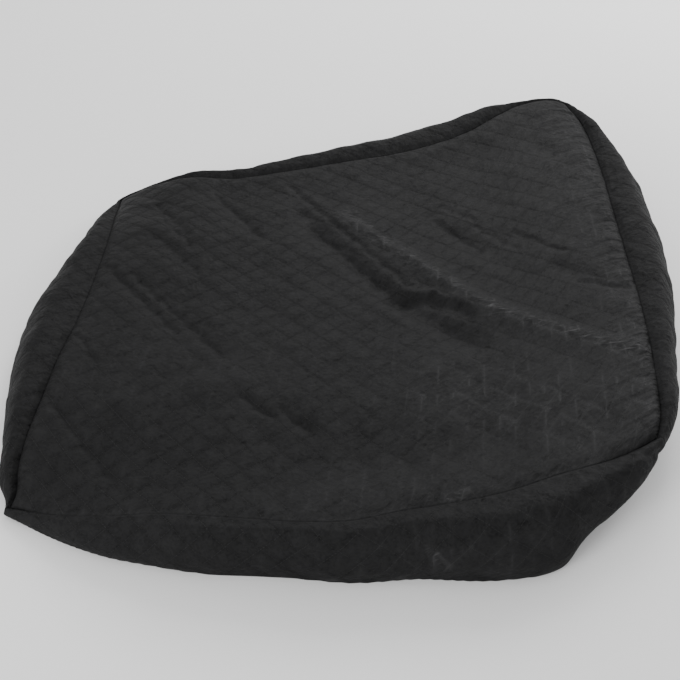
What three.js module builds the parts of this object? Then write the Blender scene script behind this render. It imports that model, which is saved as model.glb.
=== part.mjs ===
// Square hot tub cover in quilted cloth, lying limp on a floor.
// Units are millimetres. +X is right, -Y is the front, +Z is up, and the floor is at z = 0.
// A quilted top panel meets four quilted skirt panels at a sunken seam. Each skirt panel
// swells outward below the seam, comes down to the floor and turns its hem inward.
import * as THREE from 'three';

// Cloth.
const QUILT_DIAGONAL = 100; // width of one quilted diamond, corner to corner
const CELLS_ALONG_SIDE = 40; // half diamonds along each side of the square
const SKIRT_ROWS = 8; // half diamonds down the skirt, from the seam to the hem's edge
const CLOTH_AT_STITCHES = 3; // thickness where the quilting presses the wadding flat
const PUFF_OUTSIDE = 4; // rise of each diamond on the outer face
const PUFF_INSIDE = 3; // rise of each diamond on the inner face
const SEAM_GAP = 1; // space left between two panels at a seam
const HALF_DIAMOND = QUILT_DIAGONAL / 2;
const SKIRT_DEPTH = SKIRT_ROWS * HALF_DIAMOND; // cloth from the seam to the hem's edge
const HEM_SHORTEST = 40; // least cloth lying flat on the floor
const HEM_LONGEST = 190; // most cloth lying flat, where a side has sunk

// Plan centre of the finished cover in the coordinates of the tables below.
const CENTRE_X = 45.4;
const CENTRE_Y = 10.2;

// Seam between top and skirt, side by side round the square. z is its height over the floor.
const SEAM_FRONT = [
  { x: -975, y: -915, z: 30 },
  { x: -830, y: -975, z: 60 },
  { x: -660, y: -1015, z: 100 },
  { x: -505, y: -1035, z: 135 },
  { x: -280, y: -1070, z: 160 },
  { x: -110, y: -1090, z: 170 },
  { x: 30, y: -1090, z: 175 },
  { x: 195, y: -1050, z: 180 },
  { x: 445, y: -1005, z: 190 },
  { x: 625, y: -940, z: 195 },
  { x: 750, y: -895, z: 195 },
  { x: 875, y: -825, z: 190 },
  { x: 935, y: -785, z: 190 },
];
const SEAM_RIGHT = [
  { x: 935, y: -785, z: 190 },
  { x: 960, y: -715, z: 200 },
  { x: 985, y: -540, z: 205 },
  { x: 1010, y: -255, z: 210 },
  { x: 1020, y: 115, z: 215 },
  { x: 1025, y: 390, z: 220 },
  { x: 1030, y: 670, z: 225 },
  { x: 1010, y: 1005, z: 230 },
  { x: 970, y: 1135, z: 235 },
];
const SEAM_BACK = [
  { x: 970, y: 1135, z: 235 },
  { x: 910, y: 1175, z: 235 },
  { x: 845, y: 1170, z: 235 },
  { x: 755, y: 1135, z: 230 },
  { x: 670, y: 1070, z: 225 },
  { x: 515, y: 950, z: 205 },
  { x: 275, y: 835, z: 190 },
  { x: 20, y: 770, z: 180 },
  { x: -195, y: 710, z: 175 },
  { x: -420, y: 665, z: 165 },
  { x: -605, y: 695, z: 150 },
  { x: -770, y: 695, z: 105 },
  { x: -890, y: 665, z: 55 },
];
const SEAM_LEFT = [
  { x: -890, y: 665, z: 55 },
  { x: -880, y: 495, z: 100 },
  { x: -870, y: 340, z: 130 },
  { x: -870, y: 180, z: 140 },
  { x: -880, y: -35, z: 145 },
  { x: -895, y: -215, z: 150 },
  { x: -920, y: -380, z: 150 },
  { x: -940, y: -555, z: 135 },
  { x: -960, y: -685, z: 110 },
  { x: -970, y: -800, z: 75 },
  { x: -965, y: -870, z: 45 },
  { x: -975, y: -915, z: 30 },
];

// Skirt shape along each side, from the side's first corner (at 0) to its last (at 1).
// rise: height of the shoulder over the seam. reach: how far the swell stands outside the seam.
// swell: height of the swell as a share of the seam's. foot: how far outside the seam the cloth
// meets the floor. What is left of the skirt's depth lies flat, turned inward from the foot.
const SKIRT_FRONT = [
  { at: 0.0, rise: 0, reach: 10, swell: 0.5, foot: 4 },
  { at: 0.07, rise: 3, reach: 34, swell: 0.45, foot: 32 },
  { at: 0.18, rise: 5, reach: 72, swell: 0.45, foot: 66 },
  { at: 0.3, rise: 8, reach: 86, swell: 0.4, foot: 82 },
  { at: 0.45, rise: 8, reach: 68, swell: 0.4, foot: 64 },
  { at: 0.6, rise: 8, reach: 112, swell: 0.4, foot: 106 },
  { at: 0.72, rise: 8, reach: 158, swell: 0.4, foot: 152 },
  { at: 0.8, rise: 8, reach: 178, swell: 0.35, foot: 172 },
  { at: 0.87, rise: 10, reach: 124, swell: 0.5, foot: 76 },
  { at: 0.93, rise: 10, reach: 82, swell: 0.7, foot: -20 },
  { at: 1.0, rise: 8, reach: 28, swell: 0.85, foot: -90 },
];
const SKIRT_RIGHT = [
  { at: 0.0, rise: 8, reach: 28, swell: 0.85, foot: -90 },
  { at: 0.1, rise: 12, reach: 64, swell: 0.8, foot: -60 },
  { at: 0.25, rise: 16, reach: 102, swell: 0.7, foot: 10 },
  { at: 0.48, rise: 20, reach: 168, swell: 0.6, foot: 100 },
  { at: 0.7, rise: 22, reach: 154, swell: 0.6, foot: 90 },
  { at: 0.88, rise: 16, reach: 92, swell: 0.65, foot: 50 },
  { at: 1.0, rise: 4, reach: 28, swell: 0.7, foot: 5 },
];
const SKIRT_BACK = [
  { at: 0.0, rise: 4, reach: 28, swell: 0.7, foot: 5 },
  { at: 0.1, rise: 8, reach: 24, swell: 0.7, foot: 10 },
  { at: 0.2, rise: 44, reach: 76, swell: 0.7, foot: 30 },
  { at: 0.32, rise: 60, reach: 98, swell: 0.7, foot: 50 },
  { at: 0.5, rise: 50, reach: 84, swell: 0.7, foot: 50 },
  { at: 0.8, rise: 22, reach: 56, swell: 0.6, foot: 40 },
  { at: 0.92, rise: 0, reach: 18, swell: 0.5, foot: 8 },
  { at: 1.0, rise: 0, reach: 26, swell: 0.5, foot: 18 },
];
const SKIRT_LEFT = [
  { at: 0.0, rise: 0, reach: 26, swell: 0.5, foot: 18 },
  { at: 0.12, rise: 6, reach: 84, swell: 0.5, foot: 40 },
  { at: 0.3, rise: 12, reach: 160, swell: 0.45, foot: 120 },
  { at: 0.5, rise: 14, reach: 212, swell: 0.4, foot: 190 },
  { at: 0.7, rise: 10, reach: 156, swell: 0.45, foot: 138 },
  { at: 0.9, rise: 5, reach: 66, swell: 0.5, foot: 54 },
  { at: 1.0, rise: 0, reach: 10, swell: 0.5, foot: 4 },
];

// Directions in which the skirt leaves the square's corners, in degrees from +X.
const CORNER_HEADING = { frontLeft: 225, frontRight: 315, backRight: 45, backLeft: 135 };
const CORNER_BLEND = 0.16; // share of a side over which the skirt turns into its corner

// Top panel. It sags between its seams, and swells a little just inside them.
const SAG_DEPTH = 70;
const EDGE_SWELL = 12;

// Folds of the top panel, as soft ridges (height over 0) and troughs (height under 0).
// Each runs straight from one plan point to another and fades out past its ends.
const FOLDS = [
  { fromX: -30, fromY: 560, toX: 525, toY: -175, height: 14, width: 72 },
  { fromX: 240, fromY: 135, toX: 525, toY: -175, height: 20, width: 60 },
  { fromX: 610, fromY: -220, toX: 975, toY: -425, height: 20, width: 60 },
  { fromX: -270, fromY: 625, toX: 220, toY: -85, height: -30, width: 62 },
  { fromX: 210, fromY: -85, toX: 555, toY: -380, height: -38, width: 60 },
  { fromX: -320, fromY: -550, toX: -785, toY: -605, height: 14, width: 60 },
  { fromX: -935, fromY: -545, toX: -630, toY: -935, height: -18, width: 45 },
  { fromX: -815, fromY: 70, toX: -575, toY: -245, height: -14, width: 42 },
  { fromX: -700, fromY: 0, toX: -410, toY: -375, height: -10, width: 42 },
  { fromX: -685, fromY: 285, toX: -510, toY: 40, height: -10, width: 42 },
  { fromX: -465, fromY: 510, toX: -320, toY: 295, height: -10, width: 42 },
  { fromX: -295, fromY: -605, toX: -80, toY: -740, height: -14, width: 45 },
  { fromX: 780, fromY: 40, toX: 1025, toY: -105, height: -14, width: 45 },
  { fromX: 845, fromY: 805, toX: 1010, toY: 575, height: -12, width: 42 },
  { fromX: -695, fromY: 480, toX: -585, toY: 305, height: -12, width: 42 },
  { fromX: 325, fromY: 415, toX: 575, toY: 120, height: -12, width: 80 },
  { fromX: -115, fromY: -880, toX: 420, toY: -760, height: -20, width: 150 },
  { fromX: 685, fromY: -590, toX: 995, toY: -590, height: 18, width: 110 },
];

// Value of one table column at a place along the side, smoothly joined from row to row.
function columnAt(rows, column, at) {
  let k = 0;
  while (k < rows.length - 2 && at > rows[k + 1].at) {
    k += 1;
  }
  const slope = (n) => {
    const before = rows[Math.max(n - 1, 0)];
    const after = rows[Math.min(n + 1, rows.length - 1)];
    return (after[column] - before[column]) / (after.at - before.at);
  };
  const span = rows[k + 1].at - rows[k].at;
  const s = (at - rows[k].at) / span;
  const rest = 1 - s;
  const startShare = (1 + 2 * s) * rest * rest;
  const endShare = s * s * (3 - 2 * s);
  const startPull = s * rest * rest * span * slope(k);
  const endPull = -s * s * rest * span * slope(k + 1);
  return startShare * rows[k][column] + endShare * rows[k + 1][column] + startPull + endPull;
}

function smoothStep(value) {
  const s = Math.min(Math.max(value, 0), 1);
  return s * s * (3 - 2 * s);
}

// Evenly spaced points along a seam table.
function seamPoints(rows) {
  const points = rows.map((row) => new THREE.Vector3(row.x, row.y, row.z));
  const curve = new THREE.CatmullRomCurve3(points, false, 'centripetal');
  return curve.getSpacedPoints(CELLS_ALONG_SIDE);
}

const seamFront = seamPoints(SEAM_FRONT);
const seamRight = seamPoints(SEAM_RIGHT);
const seamBack = seamPoints(SEAM_BACK);
const seamLeft = seamPoints(SEAM_LEFT);

// Height that the folds add to the top panel over a plan point.
function foldHeight(x, y) {
  let height = 0;
  for (const fold of FOLDS) {
    const alongX = fold.toX - fold.fromX;
    const alongY = fold.toY - fold.fromY;
    const length = Math.hypot(alongX, alongY);
    const run = ((x - fold.fromX) * alongX + (y - fold.fromY) * alongY) / length;
    const aside = ((x - fold.fromX) * alongY - (y - fold.fromY) * alongX) / length;
    const past = Math.max(-run, run - length, 0);
    height += fold.height * Math.exp(-((aside / fold.width) ** 2) - (past / fold.width) ** 2);
  }
  return height;
}

// Middle surface of the top panel: a patch stretched between the four seams, with sag and folds.
function topPoint(i, j) {
  const u = i / CELLS_ALONG_SIDE;
  const v = j / CELLS_ALONG_SIDE;
  const front = seamFront[i];
  const back = seamBack[CELLS_ALONG_SIDE - i];
  const left = seamLeft[CELLS_ALONG_SIDE - j];
  const right = seamRight[j];
  const point = new THREE.Vector3();
  point.addScaledVector(front, 1 - v);
  point.addScaledVector(back, v);
  point.addScaledVector(left, 1 - u);
  point.addScaledVector(right, u);
  point.addScaledVector(seamFront[0], -(1 - u) * (1 - v));
  point.addScaledVector(seamFront[CELLS_ALONG_SIDE], -u * (1 - v));
  point.addScaledVector(seamBack[CELLS_ALONG_SIDE], -(1 - u) * v);
  point.addScaledVector(seamBack[0], -u * v);
  const inside = Math.min(i, j, CELLS_ALONG_SIDE - i, CELLS_ALONG_SIDE - j);
  const hold = smoothStep(inside / 5);
  const bowl = Math.pow(16 * u * (1 - u) * v * (1 - v), 0.6);
  const edge = inside * Math.exp(1 - inside) * EDGE_SWELL;
  point.z += edge - SAG_DEPTH * bowl + hold * foldHeight(point.x, point.y);
  return point;
}

function headingVector(degrees) {
  const angle = THREE.MathUtils.degToRad(degrees);
  return new THREE.Vector3(Math.cos(angle), Math.sin(angle), 0);
}

// Plan direction square to the seam at station i of a side, pointing away from the top panel.
function seamOutward(side, i) {
  const before = side.seam[Math.max(i - 1, 0)];
  const after = side.seam[Math.min(i + 1, CELLS_ALONG_SIDE)];
  return new THREE.Vector3(after.y - before.y, before.x - after.x, 0).normalize();
}

// Plan direction in which the skirt leaves the seam at station i of a side.
function skirtHeading(side, i) {
  const heading = seamOutward(side, i);
  const share = i / CELLS_ALONG_SIDE;
  const first = smoothStep(1 - share / CORNER_BLEND);
  const last = smoothStep(1 - (1 - share) / CORNER_BLEND);
  heading.multiplyScalar(1 - first - last);
  heading.addScaledVector(headingVector(side.firstCorner), first);
  heading.addScaledVector(headingVector(side.lastCorner), last);
  return heading.normalize();
}

// Outer surface of a skirt at station i of its side: points from the seam to the hem's edge.
function skirtColumn(side, i) {
  const at = i / CELLS_ALONG_SIDE;
  const seam = side.seam[i];
  const heading = skirtHeading(side, i);
  const rise = columnAt(side.skirt, 'rise', at);
  const reach = columnAt(side.skirt, 'reach', at);
  const swell = columnAt(side.skirt, 'swell', at) * seam.z;
  const foot = columnAt(side.skirt, 'foot', at);
  const profile = new THREE.CatmullRomCurve3([
    new THREE.Vector3(0, 0, seam.z),
    new THREE.Vector3(reach * 0.55, 0, seam.z + rise),
    new THREE.Vector3(reach, 0, swell),
    new THREE.Vector3(foot, 0, 0),
  ], false, 'centripetal');
  const drop = profile.getLength();
  const rowsDown = THREE.MathUtils.clamp(Math.round(drop / HALF_DIAMOND), 2, SKIRT_ROWS - 1);
  const hem = THREE.MathUtils.clamp(SKIRT_DEPTH - drop, HEM_SHORTEST, HEM_LONGEST);
  const points = profile.getSpacedPoints(rowsDown);
  const rowsFlat = SKIRT_ROWS - rowsDown;
  for (let row = 1; row <= rowsFlat; row += 1) {
    points.push(new THREE.Vector3(foot - (hem * row) / rowsFlat, 0, 0));
  }
  return points.map((point) => {
    const place = new THREE.Vector3(seam.x, seam.y, point.z);
    return place.addScaledVector(heading, point.x);
  });
}

// Surface normals of a grid of points, from their neighbours.
function gridNormals(grid) {
  const lastColumn = grid.length - 1;
  const lastRow = grid[0].length - 1;
  return grid.map((column, i) => column.map((point, j) => {
    const acrossStart = grid[Math.max(i - 1, 0)][j];
    const acrossEnd = grid[Math.min(i + 1, lastColumn)][j];
    const downStart = grid[i][Math.max(j - 1, 0)];
    const downEnd = grid[i][Math.min(j + 1, lastRow)];
    const across = new THREE.Vector3().subVectors(acrossEnd, acrossStart);
    const down = new THREE.Vector3().subVectors(downEnd, downStart);
    return new THREE.Vector3().crossVectors(across, down).normalize();
  }));
}

// True at the middle of a diamond, false where quilting lines cross.
function isPuff(i, j) {
  return (i + j) % 2 === 1;
}

// Closed body of one panel from its outer points and its inner points. Quads are split along
// the quilting lines, so each line is an edge of the mesh.
function panelGeometry(outer, inner) {
  const columns = outer.length;
  const rows = outer[0].length;
  const positions = [];
  for (const layer of [outer, inner]) {
    for (const column of layer) {
      for (const point of column) {
        positions.push(point.x - CENTRE_X, point.y - CENTRE_Y, point.z);
      }
    }
  }
  const outside = (i, j) => i * rows + j;
  const inside = (i, j) => columns * rows + i * rows + j;
  const triangles = [];
  for (let i = 0; i < columns - 1; i += 1) {
    for (let j = 0; j < rows - 1; j += 1) {
      const corners = [[i, j], [i + 1, j], [i + 1, j + 1], [i, j + 1]];
      const first = isPuff(i, j) ? 1 : 0;
      const ring = [0, 1, 2, 3].map((n) => corners[(n + first) % 4]);
      for (const trio of [[0, 1, 2], [0, 2, 3]]) {
        const [a, b, c] = trio.map((n) => ring[n]);
        triangles.push(outside(...a), outside(...b), outside(...c));
        triangles.push(inside(...a), inside(...c), inside(...b));
      }
    }
  }
  const rim = [];
  for (let i = 0; i < columns - 1; i += 1) {
    rim.push([i, 0]);
  }
  for (let j = 0; j < rows - 1; j += 1) {
    rim.push([columns - 1, j]);
  }
  for (let i = columns - 1; i > 0; i -= 1) {
    rim.push([i, rows - 1]);
  }
  for (let j = rows - 1; j > 0; j -= 1) {
    rim.push([0, j]);
  }
  rim.forEach((from, n) => {
    const to = rim[(n + 1) % rim.length];
    triangles.push(outside(...from), inside(...from), inside(...to));
    triangles.push(outside(...from), inside(...to), outside(...to));
  });
  const geometry = new THREE.BufferGeometry();
  geometry.setAttribute('position', new THREE.Float32BufferAttribute(positions, 3));
  geometry.setIndex(triangles);
  geometry.computeVertexNormals();
  return geometry;
}

const sides = {
  front: { seam: seamFront, skirt: SKIRT_FRONT },
  right: { seam: seamRight, skirt: SKIRT_RIGHT },
  back: { seam: seamBack, skirt: SKIRT_BACK },
  left: { seam: seamLeft, skirt: SKIRT_LEFT },
};
sides.front.firstCorner = CORNER_HEADING.frontLeft;
sides.front.lastCorner = CORNER_HEADING.frontRight;
sides.right.firstCorner = CORNER_HEADING.frontRight;
sides.right.lastCorner = CORNER_HEADING.backRight;
sides.back.firstCorner = CORNER_HEADING.backRight;
sides.back.lastCorner = CORNER_HEADING.backLeft;
sides.left.firstCorner = CORNER_HEADING.backLeft;
sides.left.lastCorner = CORNER_HEADING.frontLeft;

// Grids of the smooth surfaces, before quilting and thickness.
const topGrid = [];
for (let i = 0; i <= CELLS_ALONG_SIDE; i += 1) {
  topGrid.push([]);
  for (let j = 0; j <= CELLS_ALONG_SIDE; j += 1) {
    topGrid[i].push(topPoint(i, j));
  }
}
const topNormals = gridNormals(topGrid);

// True for a point of the skirt that lies on the floor.
function onFloor(point) {
  return point.z < 0.001;
}

for (const side of Object.values(sides)) {
  side.grid = [];
  for (let i = 0; i <= CELLS_ALONG_SIDE; i += 1) {
    side.grid.push(skirtColumn(side, CELLS_ALONG_SIDE - i));
  }
  side.normals = gridNormals(side.grid);
  side.grid.forEach((column, i) => column.forEach((point, j) => {
    if (onFloor(point)) {
      side.normals[i][j].set(0, 0, -1);
    }
  }));
}

// The seam's own direction at one station of a side: square to the seam, halfway between the
// two panels that meet there. across points from the top panel to the skirt.
function seamFrame(side, station) {
  const column = CELLS_ALONG_SIDE - station;
  const [i, j] = side.topEdge(station);
  const normal = new THREE.Vector3().addVectors(topNormals[i][j], side.normals[column][0]);
  normal.normalize();
  const across = seamOutward(side, station);
  across.addScaledVector(normal, -across.dot(normal)).normalize();
  return { normal, across };
}

sides.front.topEdge = (station) => [station, 0];
sides.right.topEdge = (station) => [CELLS_ALONG_SIDE, station];
sides.back.topEdge = (station) => [CELLS_ALONG_SIDE - station, CELLS_ALONG_SIDE];
sides.left.topEdge = (station) => [0, CELLS_ALONG_SIDE - station];

for (const side of Object.values(sides)) {
  side.frames = [];
  for (let station = 0; station <= CELLS_ALONG_SIDE; station += 1) {
    side.frames.push(seamFrame(side, station));
  }
}

// Where two sides meet, their seams share one direction.
const ring = [sides.front, sides.right, sides.back, sides.left];
ring.forEach((side, n) => {
  const next = ring[(n + 1) % ring.length];
  const here = side.frames[CELLS_ALONG_SIDE];
  const there = next.frames[0];
  const normal = new THREE.Vector3().addVectors(here.normal, there.normal).normalize();
  const across = new THREE.Vector3().addVectors(here.across, there.across);
  across.addScaledVector(normal, -across.dot(normal)).normalize();
  side.frames[CELLS_ALONG_SIDE] = { normal, across };
  next.frames[0] = { normal, across };
});

// Cloth faces on either side of a point of the smooth surface.
function clothFaces(point, normal, puff) {
  const outer = point.clone().addScaledVector(normal, puff * PUFF_OUTSIDE);
  const inner = point.clone().addScaledVector(normal, -CLOTH_AT_STITCHES - puff * PUFF_INSIDE);
  return { outer, inner };
}

// Top panel.
const topOuter = topGrid.map((column, i) => column.map((point, j) => {
  return clothFaces(point, topNormals[i][j], isPuff(i, j) ? 1 : 0).outer;
}));
const topInner = topGrid.map((column, i) => column.map((point, j) => {
  return clothFaces(point, topNormals[i][j], isPuff(i, j) ? 1 : 0).inner;
}));
for (const side of ring) {
  side.frames.forEach((frame, station) => {
    const [i, j] = side.topEdge(station);
    const edge = topGrid[i][j].clone().addScaledVector(frame.across, -SEAM_GAP / 2);
    const faces = clothFaces(edge, frame.normal, 0);
    topOuter[i][j] = faces.outer;
    topInner[i][j] = faces.inner;
  });
}

// Skirt panels. Their ends stand a little apart at the corner seams.
for (const side of ring) {
  side.outer = [];
  side.inner = [];
  side.grid.forEach((column, i) => {
    const station = CELLS_ALONG_SIDE - i;
    const frame = side.frames[station];
    const atEnd = station === 0 || station === CELLS_ALONG_SIDE;
    const heading = skirtHeading(side, station);
    const along = new THREE.Vector3(-heading.y, heading.x, 0);
    const shift = atEnd ? (station === 0 ? SEAM_GAP / 2 : -SEAM_GAP / 2) : 0;
    const faces = column.map((point, j) => {
      const place = point.clone();
      if (j === 0) {
        place.addScaledVector(frame.across, SEAM_GAP / 2);
      }
      const normal = (j === 0 ? frame.normal : side.normals[i][j]).clone();
      if (atEnd) {
        place.addScaledVector(along, shift);
        normal.addScaledVector(along, -normal.dot(along)).normalize();
      }
      const flat = j === 0 || atEnd || onFloor(point);
      return clothFaces(place, normal, !flat && isPuff(i, j) ? 1 : 0);
    });
    side.outer.push(faces.map((face) => face.outer));
    side.inner.push(faces.map((face) => face.inner));
  });
}

const quiltedTop = new THREE.MeshStandardMaterial({
  name: 'quilted_top',
  color: 0x1c1c1d,
  roughness: 0.82,
  metalness: 0,
});
const quiltedSkirt = new THREE.MeshStandardMaterial({
  name: 'quilted_skirt',
  color: 0x19191a,
  roughness: 0.84,
  metalness: 0,
});

const cover = new THREE.Group();
cover.name = 'hot_tub_cover';

const top = new THREE.Mesh(panelGeometry(topOuter, topInner), quiltedTop);
top.name = 'top_panel';
cover.add(top);

for (const [name, side] of Object.entries(sides)) {
  const skirt = new THREE.Mesh(panelGeometry(side.outer, side.inner), quiltedSkirt.clone());
  skirt.name = `skirt_${name}`;
  cover.add(skirt);
}

export default cover;
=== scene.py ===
"""Quilted cover for a hot tub, lying limp on a floor.

A square quilted top panel meets four quilted skirt panels at a sunken seam. Each skirt panel
swells outward below the seam, comes down to the floor and turns its hem inward.
"""

import math
from functools import lru_cache

import bpy
import numpy as np
from bpy.props import FloatProperty, FloatVectorProperty, PointerProperty
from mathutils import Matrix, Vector


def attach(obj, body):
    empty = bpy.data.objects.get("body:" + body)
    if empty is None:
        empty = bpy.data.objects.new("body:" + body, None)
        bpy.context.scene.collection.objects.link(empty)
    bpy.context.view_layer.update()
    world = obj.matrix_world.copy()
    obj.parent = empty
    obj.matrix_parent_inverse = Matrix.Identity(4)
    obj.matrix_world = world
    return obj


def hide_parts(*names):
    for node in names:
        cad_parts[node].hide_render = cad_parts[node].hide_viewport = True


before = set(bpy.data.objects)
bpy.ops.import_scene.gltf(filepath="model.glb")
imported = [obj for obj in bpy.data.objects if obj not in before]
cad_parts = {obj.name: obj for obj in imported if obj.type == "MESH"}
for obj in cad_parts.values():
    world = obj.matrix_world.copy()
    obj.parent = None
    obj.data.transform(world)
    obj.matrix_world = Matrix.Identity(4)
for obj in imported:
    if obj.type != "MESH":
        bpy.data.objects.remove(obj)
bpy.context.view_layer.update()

bl_info = {
    "name": "Quilted hot tub cover",
    "version": (1, 0, 0),
    "blender": (4, 5, 0),
    "location": "View3D > Sidebar > Tub cover",
    "description": "Builds a quilted hot tub cover lying on a floor, piece by piece",
    "category": "Object",
}

MM = 0.001

SIDES = ("front", "right", "back", "left")

# Plan centre of the finished cover in the coordinates of the tables below, in millimetres.
CENTRE_X = 45.4
CENTRE_Y = 10.2

# Half diamonds along a side of the square and down the skirt, and the mesh's steps to each.
CELLS = 40
SKIRT_ROWS = 8
HALF_DIAMOND = 50.0
SIDE_LENGTH = CELLS * HALF_DIAMOND
SKIRT_DEPTH = SKIRT_ROWS * HALF_DIAMOND
DIAMOND = 2.0 * HALF_DIAMOND * MM
FINE_TOP = 6
FINE_SKIRT = 8

# Sizes of the whole cover, in millimetres or as shares.
HEM_SHORTEST = 40.0
HEM_LONGEST = 190.0
SEAM_GAP = 0.3
SAG_DEPTH = 70.0
SAG_ROUNDNESS = 0.6
EDGE_SWELL = 12.0
SHOULDER_REACH = 0.55
CORNER_BLEND = 0.16

# How far from the seams, the ends or the floor each form comes in: main folds in half
# diamonds, the others in millimetres.
FOLDS_BLEND = 5
TOP_CREASES_BLEND = 30.0
SKIRT_CREASES_BLEND = 24.0
PUCKERS_BLEND = 9.0
PILLOWS_BLEND = 16.0
FLOOR_BLEND = 22.0
SINK_WIDTH = 13.0

# Seam between top and skirt, in millimetres: x, y, and height over the floor. Each side starts
# at a corner and ends where the next side starts.
SEAMS = {
    "front": (
        (-975, -915, 30), (-830, -975, 60), (-660, -1015, 100), (-505, -1035, 135),
        (-280, -1070, 160), (-110, -1090, 170), (30, -1090, 175), (195, -1050, 180),
        (445, -1005, 190), (625, -940, 195), (750, -895, 195), (875, -825, 190),
    ),
    "right": (
        (935, -785, 190), (960, -715, 200), (985, -540, 205), (1010, -255, 210),
        (1020, 115, 215), (1025, 390, 220), (1030, 670, 225), (1010, 1005, 230),
    ),
    "back": (
        (970, 1135, 235), (910, 1175, 235), (845, 1170, 235), (755, 1135, 230),
        (670, 1070, 225), (515, 950, 205), (275, 835, 190), (20, 770, 180),
        (-195, 710, 175), (-420, 665, 165), (-605, 695, 150), (-770, 695, 105),
    ),
    "left": (
        (-890, 665, 55), (-880, 495, 100), (-870, 340, 130), (-870, 180, 140),
        (-880, -35, 145), (-895, -215, 150), (-920, -380, 150), (-940, -555, 135),
        (-960, -685, 110), (-970, -800, 75), (-965, -870, 45),
    ),
}

# Skirt shape: place along the side, rise of the shoulder over the seam, reach of the swell outside
# it, height of the swell as a share of the seam's, and how far outside it the cloth meets the floor.
SKIRTS = {
    "front": (
        (0.0, 0, 24, 0.55, 18), (0.07, 3, 34, 0.45, 32), (0.18, 5, 72, 0.45, 66),
        (0.3, 8, 86, 0.4, 82), (0.45, 8, 68, 0.4, 64), (0.6, 8, 112, 0.4, 106),
        (0.72, 8, 158, 0.4, 152), (0.8, 8, 170, 0.35, 162), (0.87, 10, 112, 0.5, 58),
        (0.93, 10, 82, 0.7, -20), (1.0, 8, 28, 0.85, -90),
    ),
    "right": (
        (0.0, 8, 28, 0.85, -90), (0.1, 12, 64, 0.8, -60), (0.25, 16, 102, 0.7, 10),
        (0.48, 20, 168, 0.6, 100), (0.7, 22, 154, 0.6, 90), (0.88, 16, 92, 0.65, 50),
        (1.0, 4, 28, 0.7, 5),
    ),
    "back": (
        (0.0, 4, 28, 0.7, 5), (0.1, 8, 24, 0.7, 10), (0.2, 17, 120, 0.75, 30),
        (0.32, 20, 158, 0.75, 50), (0.5, 16, 140, 0.75, 50), (0.8, 9, 74, 0.65, 40),
        (0.92, 0, 18, 0.5, 8), (1.0, 0, 26, 0.5, 18),
    ),
    "left": (
        (0.0, 0, 26, 0.5, 18), (0.12, 6, 84, 0.5, 40), (0.3, 12, 160, 0.45, 120),
        (0.5, 14, 212, 0.4, 190), (0.7, 10, 156, 0.45, 138), (0.9, 5, 66, 0.5, 54),
        (1.0, 0, 24, 0.55, 18),
    ),
}

# Direction in which the skirt leaves the first corner, in degrees.
FIRST_CORNER_HEADING = 225

# Main folds of the top panel: from x, y to x, y, height or depth, and half width.
FOLDS = (
    (-30, 560, 525, -175, 6, 60), (240, 135, 525, -175, 6, 50), (610, -220, 975, -425, 8, 55),
    (-195, 590, 240, -25, 5, 45), (-130, 380, 200, -95, -16, 48), (215, -110, 430, -335, -25, 50),
    (-320, -550, -785, -605, 8, 60), (-935, -545, -630, -935, -4, 30), (-690, -860, -560, -960, -9, 70),
    (-815, 70, -575, -245, -7, 38), (-700, 0, -410, -375, -5, 38), (-685, 285, -510, 40, -5, 38),
    (-465, 510, -320, 295, -5, 38), (-295, -605, -80, -740, -5, 30), (780, 40, 1025, -105, -10, 42),
    (845, 805, 1010, 575, -10, 42), (-695, 480, -585, 305, -6, 38), (325, 415, 575, 120, -9, 60),
    (-115, -880, 420, -760, -20, 150), (685, -590, 995, -590, 18, 110),
)

# Creases of the top panel, narrower than the folds, in the same order.
CREASES = (
    (50, 350, 525, -175, 4, 16), (525, -175, 975, -425, 4, 16), (-935, -545, -630, -935, -7, 10),
    (-850, 115, -545, -285, -7, 12), (-740, 50, -380, -415, -7, 12), (-680, 275, -500, 30, -5, 12),
    (-490, 545, -290, 250, -6, 12), (-295, -605, -205, -685, -10, 12), (-180, -650, -80, -740, -11, 12),
    (-875, -280, -790, -415, -9, 11), (-715, 510, -560, 265, -6, 12), (-690, 420, -540, 185, -5, 12),
    (-195, 590, 240, -25, -8, 15), (-100, 310, 190, -85, -9, 15), (235, -62, 330, -66, 8, 18),
    (330, -66, 445, -138, 8, 20), (238, -112, 330, -122, -11, 24), (330, -122, 430, -190, -11, 26),
    (385, -205, 500, -330, -3, 22), (360, 360, 510, 175, -7, 16), (835, -30, 1010, -105, -11, 14),
    (390, 455, 500, 365, -5, 13), (505, 320, 640, 180, -5, 13), (650, 275, 800, 140, -6, 14),
    (125, -1065, 265, -1045, -9, 12),
)

# Creases of the skirts: from and to, in half diamonds along and down, height or depth, and half
# width.
SKIRT_CREASES = {"front": ((37.0, 0.4, 40.0, 1.4, -10, 16), (31.5, 0.3, 26.8, 3.4, 7, 26))}

# Parts of the top panel that are crumpled more than the rest, which also lightens them with a
# painted highlight: from x, y to x, y, strength, and half width. A strength above one also draws
# sharp raised dashes with painted highlights, and below zero it smooths the cloth and paints it
# darker.
TOP_CRUMPLES = (
    (20, 400, 525, -175, 2.5, 30), (525, -175, 975, -425, 2.5, 30),
    (980, 1050, 1000, 250, 0.9, 130), (1000, 0, 960, -650, 0.9, 110),
    (350, -560, 720, -700, 0.9, 190), (-760, -420, -250, -480, 0.25, 170),
    (-60, -960, 330, -990, 0.4, 110), (170, 190, 430, -130, -0.5, 45),
    (305, -1012, 345, -1004, 2.0, 16),
)

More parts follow.
